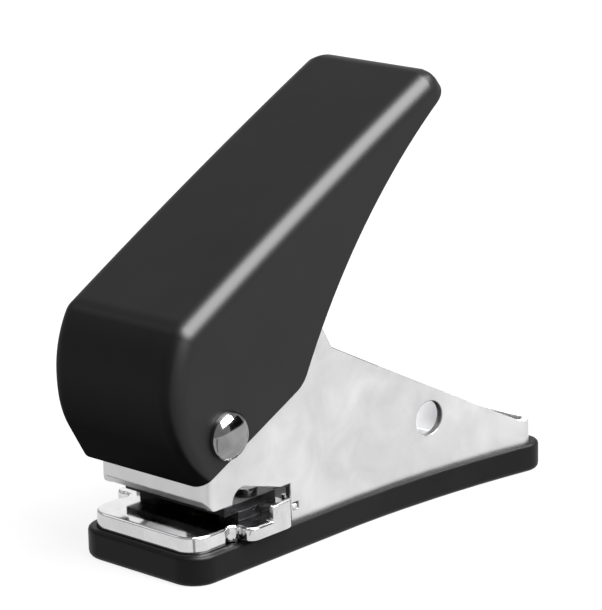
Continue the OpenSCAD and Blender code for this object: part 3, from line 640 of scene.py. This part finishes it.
def brokenEdges(name, v, limits):
    source = frame["nodes"][name]
    obj = bpy.data.objects.new(name + "Dressed", source.data.copy())
    obj.matrix_world = source.matrix_world
    bpy.context.scene.collection.objects.link(obj)
    select(obj)
    bpy.ops.mesh.customdata_custom_splitnormals_clear()
    pick(obj, faces=lambda p: True)
    bpy.ops.mesh.remove_doubles(threshold=limits["merge"] * mm)
    bpy.ops.mesh.dissolve_limited(angle_limit=math.radians(limits["flat"]))
    if "front" in v:
        # cut back a little, so that the die's bright top shows at the left as in the photo
        bpy.ops.mesh.select_all(action="SELECT")
        bpy.ops.mesh.bisect(plane_co=at(v["front"], 0), plane_no=(0, 1, 0), use_fill=True,
                            clear_inner=True)
        bpy.ops.mesh.select_all(action="SELECT")
    bpy.ops.mesh.normals_make_consistent(inside=False)
    mode("OBJECT")
    mesh = obj.data
    sides = {}
    for p in mesh.polygons:
        for key in p.edge_keys:
            sides.setdefault(key, []).append(p)
    weights = mesh.attributes.new("bevel_weight_edge", "FLOAT", "EDGE")
    widest = v.get("top", v["width"])
    for e in mesh.edges:
        faces = sides.get(tuple(sorted(e.vertices)), [])
        if len(faces) != 2:
            continue
        one, other = (face.normal for face in faces)
        if one.angle(other, 0) < math.radians(limits["sharp"]):
            continue
        heights = [mesh.vertices[i].co.z / mm for i in e.vertices]
        onTop = "top" in v and all(abs(z - v["topZ"]) < limits["level"] for z in heights)
        wide = onTop and min(one.z, other.z) < limits["upright"]
        weights.data[e.index].value = (widest if wide else v["width"]) / widest
    modify(obj, "BEVEL", width=widest * mm,
           segments=limits["topSteps"] if "top" in v else limits["steps"],
           limit_method="WEIGHT", use_clamp_overlap=False, loop_slide=False)
    setSmooth(obj, limits["smooth"])
    modify(obj, "WEIGHTED_NORMAL", keep_sharp=True)
    finish(obj, slotOf[name])
    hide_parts(name)
    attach(obj, v["body"])
    return obj


sheets = {name: brokenEdges(name, v, edgeValues) for name, v in sheetValues.items()}

# where the second finishes go: x is the distance from the middle, y runs from front to rear
cutValues = dict(x=11.75, lean=0.93, front=6.0, rear=79.5)
litInsideValues = dict(x=11.8, front=70.0, lean=0.2)
tabValues = dict(x=12.3, front=22.0)


def onCut(p, v=cutValues):
    # the cut edges of the cheeks, between the bends
    return (abs(p.center.x) > v["x"] * mm and abs(p.normal.x) < v["lean"]
            and at(v["front"], 0).y < p.center.y < at(v["rear"], 0).y)


def onLitInside(p, v=litInsideValues):
    # the inner faces near the rear wall, which get the much lighter plate as painted light
    return (abs(p.center.x) < v["x"] * mm and p.center.y > at(v["front"], 0).y
            and p.normal.y < v["lean"])


def onTab(p, v=tabValues):
    # the die plate's tab ends, seen in the slots of the cheeks
    return abs(p.center.x) > v["x"] * mm and p.center.y > at(v["front"], 0).y


finishJobs = (
    ("side_frame", "cut_edge", onCut),
    ("side_frame", "lit_inner_plate", onLitInside),
    ("die_plate", "tab_end", onTab),
)
for name, second, test in finishJobs:
    mesh = sheets[name].data
    mesh.materials.append(materials[second])
    for p in mesh.polygons:
        if test(p):
            p.material_index = len(mesh.materials) - 1
print("sheet pieces modelled")


# pivot rivet, spun about its axis: steep sided heads with a domed face

rivetValues = dict(
    shank=2.0, steps=72, smooth=40,
    # depth below the tip and radius, down the head
    head=[(0, 0), (0.03, 0.7), (0.1, 1.3), (0.22, 1.9), (0.4, 2.5), (0.62, 3.0), (0.88, 3.42),
          (1.14, 3.73), (1.38, 3.92), (1.58, 4.03), (1.8, 4.09), (2.36, 4.14)],
)


def spunRivet(v):
    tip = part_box("pivot_rivet")[1][0] / mm
    right = [(tip - depth, r) for depth, r in v["head"]] + [(tip - v["head"][-1][0], v["shank"])]
    outline = right + [(-x, r) for x, r in reversed(right)]
    axis = at(*pivotAxis)
    bpy.ops.mesh.primitive_plane_add(size=mm, location=(0, 0, 0))
    obj = bpy.context.object
    obj.name = obj.data.name = "pivotRivet"
    pick(obj, verts=lambda co: co.x > 0 or co.y > 0)
    bpy.ops.mesh.delete(type="VERT")
    mode("OBJECT")
    obj.data.vertices[0].co = Vector((outline[0][0] * mm, axis.y, axis.z + outline[0][1] * mm))
    pick(obj, verts=lambda co: True)
    for (x0, r0), (x1, r1) in zip(outline, outline[1:]):
        step = ((x1 - x0) * mm, 0, (r1 - r0) * mm)
        bpy.ops.mesh.extrude_vertices_move(TRANSFORM_OT_translate={"value": step})
    bpy.ops.mesh.select_all(action="SELECT")
    bpy.ops.mesh.spin(steps=v["steps"], angle=2 * math.pi, center=axis, axis=(1, 0, 0))
    mode("OBJECT")
    outward(obj)
    setSmooth(obj, v["smooth"])
    finish(obj, "rivet_steel")
    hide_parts("pivot_rivet")
    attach(obj, "lever")


spunRivet(rivetValues)
print("rivet modelled")


# return spring: the CAD's coil, merged

springValues = dict(foot=12.07, travel=3.0, axisY=14.8, smooth=60)


def pressedSpring(v):
    source = frame["nodes"]["return_spring"]
    obj = bpy.data.objects.new("returnCoil", source.data.copy())
    bpy.context.scene.collection.objects.link(obj)
    outward(obj)
    setSmooth(obj, v["smooth"])
    finish(obj, "spring_wire")
    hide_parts("return_spring")
    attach(obj, "frame")
    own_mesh(obj)


pressedSpring(springValues)
print("spring modelled")


# camera, at the photo's angle, places in millimetres

cameraValues = dict(target=(2.07, -1.21, 37.72), place=(356.7, -384.9, 185.8), roll=-1.3,
                    lens=187.8, sensor=36, nearest=0.01, farthest=60)


def placeCamera(v):
    data = bpy.data.cameras.new("photoCamera")
    data.lens = v["lens"]
    data.sensor_width = v["sensor"]
    data.clip_start = v["nearest"]
    data.clip_end = v["farthest"]
    data.dof.use_dof = False
    cam = bpy.data.objects.new("photoCamera", data)
    bpy.context.scene.collection.objects.link(cam)
    place, target = Vector(v["place"]) * mm, Vector(v["target"]) * mm
    ahead = (target - place).normalized()
    right = ahead.cross(Vector((0, 0, 1))).normalized()
    up = right.cross(ahead)
    r = math.radians(v["roll"])
    x = right * math.cos(r) + up * math.sin(r)
    y = up * math.cos(r) - right * math.sin(r)
    cam.matrix_world = Matrix.Translation(place) @ Matrix((x, y, -ahead)).transposed().to_4x4()
    bpy.context.scene.camera = cam


placeCamera(cameraValues)
print("camera placed")


# floor, room and key light, in metres

stageValues = dict(
    floor=9.0, floorDrop=0.00002, floorTone=0.04, floorRough=0.9, floorSpecular=0.1, glow=0.88,
    world=0.55, keyPlace=(1.7, 0.45, 2.45), keyAim=(0, 0, 0.04), keySize=3.0, key=760.0,
)


def glowingMaterial(name, tone, rough, specular, glow):
    # a plain sheet that gives off white light of its own
    mat = bpy.data.materials.new(name)
    mat.use_nodes = True
    shader = mat.node_tree.nodes["Principled BSDF"]
    shader.inputs["Base Color"].default_value = (tone, tone, tone, 1)
    shader.inputs["Roughness"].default_value = rough
    shader.inputs["Specular IOR Level"].default_value = specular
    shader.inputs["Emission Color"].default_value = (1, 1, 1, 1)
    shader.inputs["Emission Strength"].default_value = glow
    return mat


def addLight(name, place, aim, size, power):
    data = bpy.data.lights.new(name, "AREA")
    data.shape = "SQUARE"
    data.size = size
    data.energy = power
    obj = bpy.data.objects.new(name, data)
    bpy.context.scene.collection.objects.link(obj)
    obj.location = place
    obj.rotation_euler = (Vector(aim) - Vector(place)).to_track_quat("-Z", "Y").to_euler()


def plainStage(v):
    # the floor is a light table, as studios use for small things on white
    bpy.ops.mesh.primitive_plane_add(size=v["floor"], location=(0, 0, -v["floorDrop"]))
    floor = bpy.context.object
    floor.name = "floor"
    floor.data.materials.append(glowingMaterial(
        "floorPaper", v["floorTone"], v["floorRough"], v["floorSpecular"], v["glow"]))
    world = bpy.data.worlds.new("softRoom")
    world.use_nodes = True
    background = world.node_tree.nodes["Background"]
    background.inputs["Color"].default_value = (1, 1, 1, 1)
    background.inputs["Strength"].default_value = v["world"]
    bpy.context.scene.world = world
    addLight("keyBox", v["keyPlace"], v["keyAim"], v["keySize"], v["key"])


# cards that only reflections see, black or lit, in metres, and the wedge in millimetres

cardValues = dict(
    cardBehindRight=dict(place=(0.8, 0.86, 0.34), size=(1.3, 0.62), glow=0.0),
    cardBehindLeft=dict(place=(-0.8, 0.83, 0.3), size=(0.7, 0.55), glow=1.3),
    cardCrease=dict(place=(-0.85, -0.46, 0.86), size=(0.6, 0.34), glow=1.9),
)
wedgeValues = dict(corner=(12.9, -38.0), toward=(0.679, -0.734), near=12.0, far=260.0,
                   spread=0.24, lift=0.3, glow=0.4)
cardFinish = dict(tone=0.004, rough=1, specular=0)


def makeCard(name, glow):
    bpy.ops.mesh.primitive_plane_add(size=1, location=(0, 0, 0))
    card = bpy.context.object
    card.name = name
    card.data.materials.append(glowingMaterial(name, glow=glow, **cardFinish))
    card.visible_camera = False
    card.visible_diffuse = False
    card.visible_shadow = False
    card.visible_transmission = False
    return card


def addCard(name, place, size, glow):
    # a card that faces the part
    card = makeCard(name, glow)
    card.location = place
    card.rotation_euler = (-Vector(place)).to_track_quat("Z", "Y").to_euler()
    card.scale = (*size, 1)


def addWedge(v):
    # a grey strip over the floor that runs from the front corner towards the camera and widens:
    # it draws the dark lines at the front corner's bends
    wedge = makeCard("cardWedge", v["glow"])
    ahead = Vector((*v["toward"], 0))
    across = Vector((-ahead.y, ahead.x, 0))
    corner = Vector((*v["corner"], v["lift"]))
    for vert in wedge.data.vertices:
        reach = v["far"] if vert.co.x > 0 else v["near"]
        side = v["spread"] / 2 * (1 if vert.co.y > 0 else -1)
        vert.co = (corner + ahead * reach + across * side * reach) * mm


plainStage(stageValues)
for name, values in cardValues.items():
    addCard(name, **values)
addWedge(wedgeValues)
print("stage set")

bpy.context.scene.view_settings.view_transform = "Standard"
bpy.context.scene.view_settings.look = "None"
